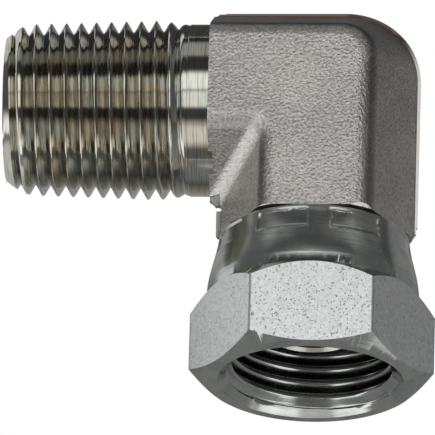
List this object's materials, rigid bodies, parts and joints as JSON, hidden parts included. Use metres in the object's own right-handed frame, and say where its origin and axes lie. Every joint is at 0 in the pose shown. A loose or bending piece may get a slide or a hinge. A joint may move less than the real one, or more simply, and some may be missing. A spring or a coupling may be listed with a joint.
{
  "type": "hydraulic elbow adapter",
  "caption": "Ninety-degree forged steel elbow that joins a tapered male pipe thread to a straight female pipe swivel with a free-turning hexagon nut.",
  "frame": {"origin": "centre of the male end face, on the axis of the male thread", "axes": "+X from the male end face into the elbow; -Y along the swivel axis, out of the nut's mouth; +Z out of the forging's front flat, up when the part lies on its back"},
  "size_m": [0.0522, 0.0482, 0.0258],
  "materials": {
    "forged_steel": "shot-blasted forged steel with a zinc plating, bright turned steel at the threads, collar and seat",
    "plated_nut": "bright blue-white zinc plating with small dark pits on the flats and a turned, crimped collar"
  },
  "bodies": {
    "elbow": {"elbow_body": "forged_steel"},
    "nut": {"swivel_nut": "plated_nut"}
  },
  "joints": [
    {"name": "nut_swivel", "type": "hinge", "parent": "elbow", "child": "nut", "pos_m": [0.0375, -0.0265, 0], "axis": [0, -1, 0], "continuous": true}
  ]
}
